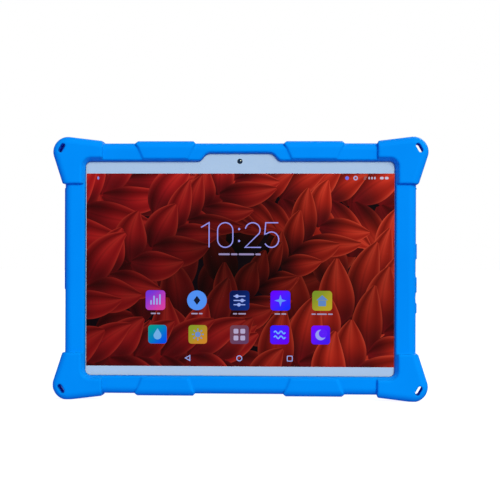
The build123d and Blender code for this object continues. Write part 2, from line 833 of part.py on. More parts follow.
# --- Battery -----------------------------------------------------------------------------------
battery_dx = (battery_w + battery_gap) / 2
for battery_name, battery_side in (("battery_left", -1), ("battery_right", 1)):
    battery_x = battery_mid_x + battery_side * battery_dx
    with BuildPart() as battery:
        with BuildSketch(layer(battery_front)):
            with Locations((battery_x, battery_mid_z)):
                RectangleRounded(battery_w, battery_h, battery_r)
        extrude(amount=-battery_t)
    save(battery, battery_name)

with BuildPart() as battery_tape:
    with BuildSketch(layer(floor_y - tape_t)):
        with Locations((battery_mid_x, battery_mid_z)):
            with GridLocations(2 * battery_dx, 0, 2, 1):
                Rectangle(tape_w, battery_h - 4 * battery_r)
    extrude(amount=-tape_t)
save(battery_tape, "battery_tape")

guard_y = floor_y - guard_t
with BuildPart() as battery_protection_board:
    with BuildSketch(layer(guard_y)):
        with Locations((battery_mid_x, guard_z)):
            Rectangle(guard_w, guard_h)
    extrude(amount=-guard_t)
    with BuildSketch(layer(guard_y)):
        with Locations((battery_mid_x, guard_z)):
            with GridLocations(guard_w / 4, 0, 4, 1):
                Rectangle(guard_h / 2, guard_h / 2)
    extrude(amount=chip_h)
save(battery_protection_board, "battery_protection_board")

lead_y = guard_y - lead_d / 2
lead_end_x = board_mid_x - board_w / 4
for lead_name, lead_row in (("battery_lead_red", -1), ("battery_lead_black", 1)):
    lead_shift = lead_row * lead_gap
    lead_start_z = guard_z + lead_shift
    lead_down_x = lead_end_x + lead_shift
    with BuildPart() as lead:
        with BuildLine() as lead_path:
            FilletPolyline(
                (battery_mid_x + guard_w / 2, lead_y, middle_z + lead_start_z),
                (lead_down_x, lead_y, middle_z + lead_start_z),
                (lead_down_x, lead_y, middle_z + board_top),
                radius=8 * lead_d,
            )
        with BuildSketch(Plane(origin=lead_path.line @ 0, z_dir=lead_path.line % 0)):
            Circle(lead_d / 2)
        sweep()
    save(lead, lead_name)


# --- Mainboard ---------------------------------------------------------------------------------
jack_back = wall_in - jack_l
with BuildPart() as mainboard:
    with BuildSketch(layer(board_front)):
        with Locations((board_mid_x, board_mid_z)):
            RectangleRounded(board_w, board_h, board_r)
        with Locations(*board_screws_at):
            Circle(board_screw_r, mode=Mode.SUBTRACT)
        with Locations((jack_back - joint_gap, jack_z)):
            Rectangle(
                jack_l + 2 * joint_gap,
                jack_w + 2 * joint_gap,
                align=(Align.MIN, Align.CENTER),
                mode=Mode.SUBTRACT,
            )
    extrude(amount=-board_t)
save(mainboard, "mainboard")

with BuildPart() as board_screws:
    with BuildSketch(layer(board_front)):
        with Locations(*board_screws_at):
            Circle(board_screw_head_r)
    extrude(amount=board_screw_head_h)
    with BuildSketch(layer(board_front)):
        with Locations(*board_screws_at):
            Circle(board_screw_r)
    extrude(amount=board_front - floor_y)
save(board_screws, "board_screws")

with BuildPart() as shield_cans:
    for can_x, can_drop, can_w, can_l in (cpu_can, radio_can):
        with BuildSketch(layer(board_front - can_h)):
            with Locations((board_mid_x + can_x, board_top - can_drop)):
                RectangleRounded(can_w, can_l, can_r)
        extrude(amount=-can_h)
        with BuildSketch(layer(board_front)):
            with Locations((board_mid_x + can_x, board_top - can_drop)):
                Rectangle(can_w - 2 * can_sheet, can_l - 2 * can_sheet)
        extrude(amount=can_h - can_sheet, mode=Mode.SUBTRACT)
save(shield_cans, "shield_cans")


def chip(label, chip_x, chip_z, chip_w, chip_l, count=1):
    """A column of like chips on the mainboard, from its middle and at mid-column height chip_z."""
    with BuildPart() as chips:
        with BuildSketch(layer(board_front)):
            with Locations((board_mid_x + chip_x, chip_z)):
                with GridLocations(0, memory_pitch, 1, count):
                    Rectangle(chip_w, chip_l)
        extrude(amount=chip_h)
    save(chips, label)


def below_top(place):
    """A chip's place and size, with its drop from the board's upper edge turned into a height."""
    chip_x, chip_drop, chip_w, chip_l = place
    return chip_x, board_top - chip_drop, chip_w, chip_l


chip("processor_chip", *below_top(processor_at))
chip("memory_chips", *below_top(memory_at), memory_count)
chip("wireless_chip", *below_top(wireless_at))
chip("power_chip", power_x, board_bottom + power_up, power_w, power_w)

with BuildPart() as microphone:
    with BuildSketch(layer(board_front)):
        with Locations((board_right - mic_w / 2, mic_z)):
            Rectangle(mic_w, mic_w)
    extrude(amount=mic_h)
save(microphone, "microphone")


# --- Ports -------------------------------------------------------------------------------------
with BuildPart() as usb_port:
    with BuildSketch(side(wall_out - tiny)):
        with Locations((port_y, usb_z)):
            RectangleRounded(usb_h, usb_w, usb_h / 3)
    extrude(amount=-usb_l)
    with BuildSketch(side(wall_out - tiny)):
        with Locations((port_y, usb_z)):
            RectangleRounded(
                usb_h - 2 * usb_sheet, usb_w - 2 * usb_sheet, usb_h / 3 - usb_sheet
            )
    extrude(amount=usb_sheet - usb_l, mode=Mode.SUBTRACT)
save(usb_port, "usb_port")

with BuildPart() as usb_tongue:
    with BuildSketch(side(wall_out - tiny - usb_l + usb_sheet)):
        with Locations((port_y, usb_z)):
            Rectangle((usb_h - 2 * usb_sheet) / 3, usb_w / 2)
    extrude(amount=usb_l - 4 * usb_sheet)
save(usb_tongue, "usb_tongue")

with BuildPart() as headphone_jack:
    with BuildSketch(side(wall_in - joint_gap)):
        with Locations((jack_y, jack_z)):
            Rectangle(jack_h, jack_w)
    extrude(amount=joint_gap - jack_l)
    with BuildSketch(side(wall_in - joint_gap)):
        with Locations((jack_y, jack_z)):
            Circle(jack_nose_r - tiny)
    extrude(amount=housing_wall)
    with BuildSketch(side(wall_in - joint_gap + housing_wall)):
        with Locations((jack_y, jack_z)):
            Circle(jack_bore_r)
    extrude(amount=-jack_bore_l, mode=Mode.SUBTRACT)
save(headphone_jack, "headphone_jack")


# --- Card socket and tray ----------------------------------------------------------------------
card_back = wall_in - card_l
socket_mouth = board_right
with BuildPart() as card_socket:
    with BuildSketch(side(socket_mouth)):
        with Locations((card_y, card_z)):
            Rectangle(card_t + 2 * (run + socket_sheet), card_w + 2 * (run + socket_sheet))
    extrude(amount=card_back - run - socket_sheet - socket_mouth)
    with BuildSketch(side(socket_mouth)):
        with Locations((card_y, card_z)):
            Rectangle(card_t + 2 * run, card_w + 2 * run)
    extrude(amount=card_back - run - socket_mouth, mode=Mode.SUBTRACT)
save(card_socket, "card_socket")

with BuildPart() as card_tray:
    with BuildSketch(side(wall_out)):
        with Locations((card_y, card_z)):
            RectangleRounded(card_face_h, card_face_w, card_face_h / 2 - tiny)
    extrude(amount=-housing_wall)
    with BuildSketch(side(wall_in)):
        with Locations((card_y, card_z)):
            Rectangle(card_t, card_w)
    extrude(amount=-card_l)
    with BuildSketch(layer(card_y)):
        with Locations((wall_in - card_l / 2, card_z)):
            Rectangle(card_bed_l, card_bed_w)
    extrude(amount=card_t, both=True, mode=Mode.SUBTRACT)
    with BuildSketch(side(wall_out)):
        with Locations((card_y, card_z + card_w / 2 - card_pin_r)):
            Circle(card_pin_r)
    extrude(amount=-housing_wall / 2, mode=Mode.SUBTRACT)
save(card_tray, "card_tray")


# --- Keys --------------------------------------------------------------------------------------
for key_name, key_z in key_zs.items():
    with BuildPart() as key:
        with BuildSketch(side(wall_out + key_proud)):
            with Locations((key_y, key_z)):
                RectangleRounded(key_t, key_l, key_t / 2 - tiny)
        extrude(amount=-(key_proud + wall_out - flange_in))
        fillet(key.edges().group_by(Axis.X)[-1], key_proud / 2)
        with BuildSketch(side(flange_in)):
            with Locations((key_y, key_z)):
                Rectangle(key_t + 2 * key_flange, key_l + 2 * key_flange)
        extrude(amount=key_flange_t)
        with BuildSketch(side(flange_in)):
            with Locations((key_y, key_z)):
                Rectangle(key_t, key_t)
        extrude(amount=-nub_t)
    save(key, key_name)
    with BuildPart() as plunger:
        with BuildSketch(side(nub_in)):
            with Locations((key_y, key_z)):
                Circle(plunger_r)
        extrude(amount=-plunger_l)
    save(plunger, f"{key_name}_plunger")

with BuildPart() as key_switches:
    for key_z in key_zs.values():
        with BuildSketch(side(switch_face)):
            with Locations((key_y, key_z)):
                Rectangle(switch_w, switch_w)
                Circle(plunger_r + run, mode=Mode.SUBTRACT)
        extrude(amount=-switch_t)
save(key_switches, "key_switches")

with BuildPart() as key_board:
    with BuildSketch(side(key_board_face)):
        with Locations((key_y, key_board_mid)):
            Rectangle(key_board_h, key_board_len)
    extrude(amount=-key_board_t)
save(key_board, "key_board")


# --- Cameras -----------------------------------------------------------------------------------
lens_y = print_y + print_t + tiny
with BuildPart() as front_camera:
    with BuildSketch(layer(tray_back)):
        with Locations((0, front_camera_z)):
            Rectangle(front_camera_w, front_camera_w)
    extrude(amount=parting_y + skirt_h - tray_back)
    with BuildSketch(layer(tray_back)):
        with Locations((0, front_camera_z)):
            Circle(front_barrel_r)
    extrude(amount=tray_back - lens_y)
    with BuildSketch(layer(lens_y)):
        with Locations((0, front_camera_z)):
            Circle(front_lens_r)
    extrude(amount=-front_lens_t, mode=Mode.SUBTRACT)
save(front_camera, "front_camera")

with BuildPart() as front_camera_lens:
    with BuildSketch(layer(lens_y)):
        with Locations((0, front_camera_z)):
            Circle(front_lens_r)
    extrude(amount=-front_lens_t)
save(front_camera_lens, "front_camera_lens")

rear_camera_front = tray_back + joint_gap
rear_camera_back = floor_y - joint_gap
with BuildPart() as rear_camera:
    with BuildSketch(layer(rear_camera_front)):
        with Locations((rear_camera_x, rear_camera_z)):
            RectangleRounded(rear_camera_w, rear_camera_w, rear_camera_r)
    extrude(amount=rear_camera_front - rear_camera_back)
    with BuildSketch(layer(rear_camera_back)):
        with Locations((rear_camera_x, rear_camera_z)):
            Circle(rear_barrel_r - joint_gap)
    extrude(amount=-(housing_floor - rear_window_t + joint_gap))
save(rear_camera, "rear_camera")

with BuildPart() as rear_camera_window:
    with BuildSketch(layer(tablet_back - rear_window_t)):
        with Locations((rear_camera_x, rear_camera_z)):
            Circle(rear_window_r - tiny)
    extrude(amount=-rear_window_t)
save(rear_camera_window, "rear_camera_window")


# --- Sound and vibration -----------------------------------------------------------------------
speaker_front = floor_y - mesh_t - speaker_t
for speaker_name, speaker_side in (("speaker_left", -1), ("speaker_right", 1)):
    with BuildPart() as speaker:
        with BuildSketch(layer(speaker_front)):
            with Locations((speaker_side * speaker_x, speaker_z)):
                RectangleRounded(speaker_w, speaker_h, speaker_r)
        extrude(amount=-speaker_t)
    save(speaker, speaker_name)

with BuildPart() as speaker_meshes:
    with BuildSketch(layer(floor_y - mesh_t)):
        for speaker_side in (-1, 1):
            with Locations((speaker_side * speaker_x, speaker_z)):
                RectangleRounded(mesh_w, mesh_h, mesh_r)
    extrude(amount=-mesh_t)
save(speaker_meshes, "speaker_meshes")

motor_y = (tray_back + floor_y) / 2
weight_low = motor_z + motor_l / 2 + weight_gap


def motor_plane(z):
    return Plane(origin=(motor_x, motor_y, middle_z + z), x_dir=(1, 0, 0), z_dir=(0, 0, 1))


with BuildPart() as vibration_motor:
    with BuildSketch(motor_plane(motor_z - motor_l / 2)):
        Circle(motor_r)
    extrude(amount=motor_l)
    with BuildSketch(motor_plane(motor_z + motor_l / 2)):
        Circle(motor_shaft_r + tiny)
    extrude(amount=-motor_l / 2, mode=Mode.SUBTRACT)
save(vibration_motor, "vibration_motor")

with BuildPart() as vibration_weight:
    with BuildSketch(motor_plane(weight_low)):
        Circle(weight_r)
        with Locations((0, -weight_r)):
            Rectangle(2 * weight_r, 2 * (weight_r - 2 * motor_shaft_r), mode=Mode.SUBTRACT)
    extrude(amount=weight_l)
    with BuildSketch(motor_plane(weight_low + weight_l)):
        Circle(motor_shaft_r)
    extrude(amount=-(weight_l + motor_l / 2))
save(vibration_weight, "vibration_weight")

with BuildPart() as motor_cradle:
    with BuildSketch(motor_plane(motor_z - motor_l / 4)):
        with Locations((0, (floor_y - motor_y) / 2)):
            Rectangle(cradle_w, floor_y - motor_y)
        Circle(motor_r + tiny, mode=Mode.SUBTRACT)
    extrude(amount=motor_l / 2)
save(motor_cradle, "motor_cradle")


# --- Antennas and flexes -----------------------------------------------------------------------
with BuildPart() as wifi_antenna:
    with BuildSketch(layer(floor_y - antenna_t)):
        with Locations((wifi_side_in - wall_in, inner_top - wifi_top_in)):
            Rectangle(wifi_w, wifi_h)
            with Locations((-wifi_slot_in, wifi_slot_up)):
                Rectangle(wifi_slot_w, wifi_slot_h, mode=Mode.SUBTRACT)
    extrude(amount=-antenna_t)
save(wifi_antenna, "wifi_antenna")

with BuildPart() as cell_antenna:
    with BuildSketch(layer(floor_y - antenna_t)):
        with Locations((0, cell_bottom_in - inner_top)):
            Rectangle(cell_w, cell_h)
            with GridLocations(cell_slot_pitch, 0, cell_slot_count, 1):
                Rectangle(cell_slot_w, cell_slot_h, mode=Mode.SUBTRACT)
    extrude(amount=-antenna_t)
save(cell_antenna, "cell_antenna")


flex_front = tray_back + flex_t / 2
flex_back = board_front - flex_t / 2


def flex_strip(x, width, lying, foot, up):
    """Flat cable of one width at x. It lies behind the display module for its lying length, as far
    as its foot, then steps back and lies on the board. It runs up with up = 1, down with -1."""
    landing = foot + up * flex_ramp
    with BuildPart() as flex:
        with BuildSketch(side(x - width / 2)):
            with BuildLine() as flex_path:
                FilletPolyline(
                    (flex_front, foot - up * lying),
                    (flex_front, foot),
                    (flex_back, landing),
                    (flex_back, landing + up * flex_land),
                    radius=4 * flex_t,
                )
            trace(flex_path.edges(), flex_t)
        extrude(amount=width)
    return flex


display_flex = flex_strip(
    board_mid_x + display_flex_x, flex_w, display_flex_l, board_bottom + display_flex_in, 1
)
save(display_flex, "display_flex")

touch_flex = flex_strip(
    board_mid_x + touch_flex_x, touch_flex_w, touch_flex_l, board_top + touch_flex_out, -1
)
save(touch_flex, "touch_flex")

camera_flex_z = front_camera_z - camera_flex_drop
camera_flex_down_x = board_mid_x + camera_flex_x
with BuildPart() as camera_flex:
    with BuildSketch(layer(tray_back)):
        with BuildLine() as camera_path:
            FilletPolyline(
                (0, front_camera_z - front_camera_w / 2),
                (0, camera_flex_z),
                (camera_flex_down_x, camera_flex_z),
                (camera_flex_down_x, board_top + camera_flex_out),
                radius=camera_flex_w,
            )
        trace(camera_path.edges(), camera_flex_w)
    extrude(amount=-flex_t)
save(camera_flex, "camera_flex")


# --- Screws ------------------------------------------------------------------------------------
with BuildPart() as housing_screws:
    with BuildSketch(layer(tablet_back)):
        with Locations(*frame_bosses):
            Circle(screw_head_r - tiny)
    extrude(amount=screw_head_h)
    with BuildSketch(layer(tablet_back)):
        with Locations(*frame_bosses):
            Circle(screw_r - tiny)
    extrude(amount=tablet_back - boss_end_y + screw_grip - joint_gap)
save(housing_screws, "housing_screws")
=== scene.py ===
"""Looks of a child's tablet in a thick silicone case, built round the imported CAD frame."""

import json
import math
import random

import bmesh
import bpy
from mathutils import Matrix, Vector


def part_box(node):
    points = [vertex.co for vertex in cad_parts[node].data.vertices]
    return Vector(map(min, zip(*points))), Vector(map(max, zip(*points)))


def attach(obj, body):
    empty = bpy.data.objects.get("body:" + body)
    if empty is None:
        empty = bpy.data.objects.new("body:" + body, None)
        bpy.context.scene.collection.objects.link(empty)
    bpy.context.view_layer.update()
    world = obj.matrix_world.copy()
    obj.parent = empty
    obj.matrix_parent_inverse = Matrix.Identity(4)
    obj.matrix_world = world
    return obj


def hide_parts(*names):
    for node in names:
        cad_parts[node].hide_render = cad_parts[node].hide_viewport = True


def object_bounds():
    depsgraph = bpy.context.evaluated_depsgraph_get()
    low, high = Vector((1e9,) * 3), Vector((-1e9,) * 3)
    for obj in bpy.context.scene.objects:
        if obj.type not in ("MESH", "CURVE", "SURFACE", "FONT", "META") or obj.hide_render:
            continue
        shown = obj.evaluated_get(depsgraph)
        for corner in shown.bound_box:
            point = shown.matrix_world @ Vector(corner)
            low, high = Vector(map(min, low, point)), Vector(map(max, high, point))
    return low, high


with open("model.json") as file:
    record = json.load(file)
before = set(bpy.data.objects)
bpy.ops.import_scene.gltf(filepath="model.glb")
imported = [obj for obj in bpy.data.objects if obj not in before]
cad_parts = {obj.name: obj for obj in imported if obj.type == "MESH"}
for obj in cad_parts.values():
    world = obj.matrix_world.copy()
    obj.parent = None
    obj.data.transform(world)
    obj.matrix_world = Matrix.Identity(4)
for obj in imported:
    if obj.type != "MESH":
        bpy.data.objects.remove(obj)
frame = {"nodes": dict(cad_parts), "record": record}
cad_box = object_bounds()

MM = 0.001
TAU = 2 * math.pi
scene = bpy.context.scene
cad = frame["nodes"]
record = frame["record"]


# Colours are in linear light, as Blender keeps them.
def linear(red, green, blue):
    """A screen colour of 0 to 255 in linear light, with its alpha."""
    def one(value):
        share = value / 255
        return share / 12.92 if share <= 0.04045 else ((share + 0.055) / 1.055) ** 2.4
    return (one(red), one(green), one(blue), 1.0)


def scaled(colour, factor):
    return tuple(min(1.0, part * factor) for part in colour[:3]) + (1.0,)


def mixed(first, second, share):
    return tuple(a + (b - a) * share for a, b in zip(first, second))


def smooth(value):
    value = max(0.0, min(1.0, value))
    return value * value * (3 - 2 * value)


class Graph:
    """The node tree of one material."""

    def __init__(self, name):
        self.material = bpy.data.materials.new(name)
        self.material.use_nodes = True
        self.tree = self.material.node_tree
        self.tree.nodes.clear()
        self.place = self.add("ShaderNodeTexCoord").outputs["Object"]

    def add(self, kind, inputs=None, **settings):
        node = self.tree.nodes.new(kind)
        for key, value in settings.items():
            setattr(node, key, value)
        for key, value in (inputs or {}).items():
            if isinstance(value, bpy.types.NodeSocket):
                self.tree.links.new(value, node.inputs[key])
            else:
                node.inputs[key].default_value = value
        return node

    def stretched(self, x, y, z):
        return self.add("ShaderNodeMapping", {"Vector": self.place, "Scale": (x, y, z)}).outputs["Vector"]

    def noise(self, scale, detail=3.0, place=None):
        inputs = {"Vector": place or self.place, "Scale": scale, "Detail": detail}
        return self.add("ShaderNodeTexNoise", inputs).outputs["Fac"]

    def tones(self, factor, low, high):
        # A Mix node keeps its sockets for numbers before those for colours, so these go by place.
        inputs = {0: factor, 6: low, 7: high}
        return self.add("ShaderNodeMix", inputs, data_type="RGBA").outputs[2]

    def span(self, factor, low, high, start=0.3, end=0.7):
        inputs = {"Value": factor, "From Min": start, "From Max": end, "To Min": low, "To Max": high}
        return self.add("ShaderNodeMapRange", inputs).outputs["Result"]

    def bump(self, height, distance, strength=1.0, normal=None):
        inputs = {"Height": height, "Distance": distance, "Strength": strength}
        if normal:
            inputs["Normal"] = normal
        return self.add("ShaderNodeBump", inputs).outputs["Normal"]

    def principled(self, inputs):
        return self.add("ShaderNodeBsdfPrincipled", inputs).outputs["BSDF"]

    def done(self, shader):
        self.add("ShaderNodeOutputMaterial", {"Surface": shader})
        return self.material


def moulded(name, colour, spread, roughness, grain, depth, inputs=None):
    """Moulded plastic or rubber: faint patches of shade and shine, and a fine grain."""
    graph = Graph(name)
    patch = graph.span(graph.noise(28.0), 0.0, 1.0)
    shine = graph.noise(210.0, 4.0)
    return graph.done(graph.principled({
        "Base Color": graph.tones(patch, scaled(colour, 1 - spread), scaled(colour, 1 + spread)),
        "Roughness": graph.span(shine, roughness - 0.06, roughness + 0.06),
        "Normal": graph.bump(graph.noise(grain, 2.0), depth),
        **(inputs or {}),
    }))


def metal(name, colour, roughness, along, depth):
    """Rolled or brushed metal: fine streaks along one axis, with duller patches."""
    graph = Graph(name)
    streaks = graph.noise(900.0, 3.0, graph.stretched(*along))
    patch = graph.noise(120.0)
    return graph.done(graph.principled({
        "Base Color": graph.tones(graph.span(patch, 0.0, 1.0), scaled(colour, 0.86), scaled(colour, 1.05)),
        "Metallic": 1.0,
        "Roughness": graph.span(streaks, roughness - 0.08, roughness + 0.12),
        "Normal": graph.bump(streaks, depth),
    }))


def pane(name, tint, gloss, roughness):
    """A clear pane: what is behind it, under a mirror that grows aslant and that smudges soften."""
    graph = Graph(name)
    smudge = graph.span(graph.noise(60.0, 4.0), roughness * 0.5, roughness * 1.8)
    mirror = graph.add("ShaderNodeBsdfGlossy", {"Color": (1, 1, 1, 1), "Roughness": smudge}).outputs["BSDF"]
    through = graph.add("ShaderNodeBsdfTransparent", {"Color": tint}).outputs["BSDF"]
    share = graph.add("ShaderNodeLayerWeight", {"Blend": gloss}).outputs["Facing"]
    return graph.done(graph.add("ShaderNodeMixShader", {0: share, 1: through, 2: mirror}).outputs["Shader"])


def domed(node):
    """Dark coated glass, shaded as a lens that bulges over the whole of the node's face."""
    low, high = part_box(node)
    middle = (low + high) / 2
    radius = (high.x - low.x) / 2
    rise = 0.35 * radius
    graph = Graph("domed_lens")
    inputs = {
        "Vector": graph.place, "Scale": (1 / radius, 0.0, 1 / radius),
        "Location": (-middle.x / radius, 0.0, -middle.z / radius),
    }
    out = graph.add("ShaderNodeMapping", inputs).outputs["Vector"]
    depth = graph.add("ShaderNodeVectorMath", {0: out, 1: out}, operation="DOT_PRODUCT").outputs["Value"]
    height = graph.span(depth, 1.0, 0.0, 0.0, 1.0)
    return graph.done(graph.principled({
        "Base Color": graph.tones(graph.noise(900.0), (0.006, 0.022, 0.05, 1.0), (0.01, 0.034, 0.08, 1.0)),
        "Roughness": graph.span(graph.noise(600.0), 0.10, 0.18),
        "Coat Weight": 1.0,
        "Coat Roughness": 0.05,
        "Normal": graph.bump(height, rise),
        "Coat Normal": graph.bump(height, rise),
    }))


def silicone():
    """Soft matt rubber, whose edges look worn round and whose mirror is blue."""
    edge_wear = 2 * MM
    graph = Graph("silicone")
    patch = graph.span(graph.noise(16.0, 4.0), 0.0, 1.0)
    fine = graph.noise(2600.0, 2.0)
    soft = graph.add("ShaderNodeBevel", {"Radius": edge_wear}, samples=8).outputs["Normal"]
    return graph.done(graph.principled({
        "Base Color": graph.tones(patch, (0.0, 0.228, 0.84, 1.0), (0.0, 0.254, 0.90, 1.0)),
        "Roughness": graph.span(graph.noise(150.0, 5.0), 0.46, 0.62),
        "Specular IOR Level": 0.3,
        "Specular Tint": (0.02, 0.5, 1.0, 1.0),
        "Normal": graph.bump(fine, 9e-6, 0.7, graph.bump(graph.noise(70.0, 3.0), 6e-5, 0.5, soft)),
    }))


def circuit():
    """Solder mask over copper: lighter traces and pads stand a little proud."""
    graph = Graph("board")
    traces = graph.add("ShaderNodeTexBrick", {
        "Vector": graph.place, "Scale": 260.0, "Mortar Size": 0.06,
        "Color1": (0.0, 0.0, 0.0, 1.0), "Color2": (0.1, 0.1, 0.1, 1.0), "Mortar": (1.0, 1.0, 1.0, 1.0),
    })
    worn = graph.noise(90.0)
    return graph.done(graph.principled({
        "Base Color": graph.tones(traces.outputs["Fac"], (0.010, 0.115, 0.050, 1.0), (0.03, 0.22, 0.10, 1.0)),
        "Roughness": graph.span(worn, 0.28, 0.45),
        "Normal": graph.bump(traces.outputs["Fac"], 2e-5, 0.6),
    }))


def film_tape():
    """Amber film over fine copper tracks."""
    graph = Graph("flex_film")
    tracks = graph.add("ShaderNodeTexWave", {
        "Vector": graph.place, "Scale": 420.0, "Distortion": 0.4, "Detail": 1.0,
    }).outputs["Fac"]
    return graph.done(graph.principled({
        "Base Color": graph.tones(tracks, (0.34, 0.13, 0.02, 1.0), (0.50, 0.23, 0.05, 1.0)),
        "Roughness": graph.span(graph.noise(130.0), 0.24, 0.4),
        "Normal": graph.bump(tracks, 1.2e-5, 0.5),
    }))


def woven():
    """Black speaker cloth: two crossing threads."""
    graph = Graph("mesh_cloth")
    threads = {"Vector": graph.place, "Scale": 620.0}
    waves = [graph.add("ShaderNodeTexWave", threads, bands_direction=axis).outputs["Fac"] for axis in "XZ"]
    weave = graph.add("ShaderNodeMath", {0: waves[0], 1: waves[1]}, operation="MULTIPLY").outputs["Value"]
    return graph.done(graph.principled({
        "Base Color": graph.tones(weave, (0.012, 0.012, 0.013, 1.0), (0.05, 0.05, 0.052, 1.0)),
        "Roughness": graph.span(graph.noise(300.0), 0.6, 0.8),
        "Normal": graph.bump(weave, 4e-5),
    }))


def picture_light():
    """The lit picture: each shape's own tint, under a faint unevenness of the backlight."""
    graph = Graph("display")
    tint = graph.add("ShaderNodeVertexColor", layer_name="tint").outputs["Color"]
    uneven = graph.span(graph.noise(24.0, 2.0), 0.93, 1.07)
    lit = graph.add("ShaderNodeVectorMath", {0: tint, "Scale": uneven}, operation="SCALE").outputs["Vector"]
    return graph.done(graph.principled({
        "Base Color": (0.0012, 0.0012, 0.0014, 1.0),
        "Roughness": graph.span(graph.noise(90.0), 0.28, 0.4),
        "Specular IOR Level": 0.05,
        "Emission Color": lit,
        "Emission Strength": 1.0,
        "Normal": graph.bump(graph.noise(1800.0, 2.0), 2e-6, 0.4),
    }))


# Each look: colour, spread of its shades, roughness, scale and depth of the grain, other inputs.
moulded_looks = {
    "housing_plastic": ((0.62, 0.64, 0.66), 0.03, 0.42, 2400.0, 1.2e-5),
    "frame_plastic": ((0.66, 0.69, 0.72), 0.02, 0.28, 1500.0, 4e-6),
    "tray_plastic": ((0.60, 0.62, 0.64), 0.03, 0.42, 2400.0, 1.2e-5),
    "key_plastic": ((0.60, 0.62, 0.64), 0.02, 0.25, 1500.0, 4e-6),
    "plunger_plastic": ((0.05, 0.05, 0.052), 0.1, 0.5, 2000.0, 1e-5),
    "port_plastic": ((0.028, 0.028, 0.03), 0.1, 0.48, 2200.0, 1e-5),
    "led_plastic": ((0.85, 0.80, 0.42), 0.06, 0.3, 1500.0, 5e-6),
    "white_film": ((0.82, 0.84, 0.86), 0.02, 0.38, 3000.0, 4e-6),
    "border_ink": ((0.39, 0.53, 0.74), 0.012, 0.35, 2600.0, 3e-6),
    "adhesive": ((0.03, 0.03, 0.03), 0.15, 0.75, 2600.0, 3e-5),
    "chip_resin": ((0.018, 0.018, 0.02), 0.1, 0.55, 2800.0, 1.5e-5),
    "camera_black": ((0.012, 0.014, 0.018), 0.1, 0.42, 2200.0, 8e-6),
    "speaker_black": ((0.022, 0.022, 0.024), 0.1, 0.5, 2200.0, 1.2e-5),
    "cradle_rubber": ((0.035, 0.035, 0.036), 0.12, 0.7, 1800.0, 2e-5),
    "lead_red": ((0.42, 0.012, 0.01), 0.08, 0.45, 1800.0, 1e-5),
    "lead_black": ((0.012, 0.012, 0.012), 0.1, 0.45, 1800.0, 1e-5),
    "lens_glass": (
        (0.008, 0.028, 0.07), 0.25, 0.12, 900.0, 1e-6, {"Coat Weight": 1.0, "Coat Roughness": 0.03},
    ),
    "display_glass": ((0.004, 0.004, 0.006), 0.2, 0.2, 2000.0, 1e-6),
}
# Each look: colour, roughness, scale of its streaks along the three axes, their depth.
metal_looks = {
    "tray_metal": ((0.60, 0.61, 0.63), 0.34, (1.0, 1.0, 0.04), 4e-6),
    "tin_plate": ((0.66, 0.66, 0.65), 0.30, (0.05, 1.0, 1.0), 4e-6),
    "switch_metal": ((0.62, 0.62, 0.62), 0.28, (1.0, 1.0, 0.06), 4e-6),
    "screw_steel": ((0.40, 0.40, 0.42), 0.32, (1.0, 0.2, 1.0), 4e-6),
    "battery_foil": ((0.60, 0.61, 0.64), 0.36, (0.3, 1.0, 1.0), 2e-5),
    "weight_metal": ((0.34, 0.34, 0.36), 0.5, (1.0, 1.0, 1.0), 2e-5),
}
finishes = {
    "silicone": silicone(),
    **{name: moulded(name, *look) for name, look in moulded_looks.items()},
    **{name: metal(name, *look) for name, look in metal_looks.items()},
    "domed_lens": domed("front_camera_lens"),
    "board": circuit(),
    "flex_film": film_tape(),
    "mesh_cloth": woven(),
    "glass": pane("glass", (1.0, 1.0, 1.0, 1.0), 0.1, 0.03),
    "clear_film": pane("clear_film", (0.94, 0.95, 0.96, 1.0), 0.05, 0.06),
    "display": picture_light(),
}

# The lit picture stands in front of the display panel, which is dark itself.
slot_of = {part["node"]: part["material_slot"] for part in record["subparts"]}
for node, piece in cad.items():
    finish = slot_of[node]
    if finish == "display":
        finish = "display_glass"
    elif node == "front_camera_lens":
        finish = "domed_lens"
    piece.data.materials.clear()
    piece.data.materials.append(finishes[finish])

# The glass lies flat on its print, so it is drawn in by a hair, all its facets welded into one
# skin first. It lets light straight through.
cover = cad["cover_glass"]
weld = cover.modifiers.new("weld", "WELD")
weld.merge_threshold = 1e-6
hair = cover.modifiers.new("hair", "DISPLACE")
hair.mid_level = 0.0
hair.strength = -1e-5
cover.visible_shadow = False
cover.visible_diffuse = False


# The lit picture, drawn in millimetres from the middle of the display.
lcd_low, lcd_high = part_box("lcd_panel")
mid_x = (lcd_low.x + lcd_high.x) / 2
mid_z = (lcd_low.z + lcd_high.z) / 2
half_w = (lcd_high.x - lcd_low.x) / 2 / MM
half_h = (lcd_high.z - lcd_low.z) / 2 / MM


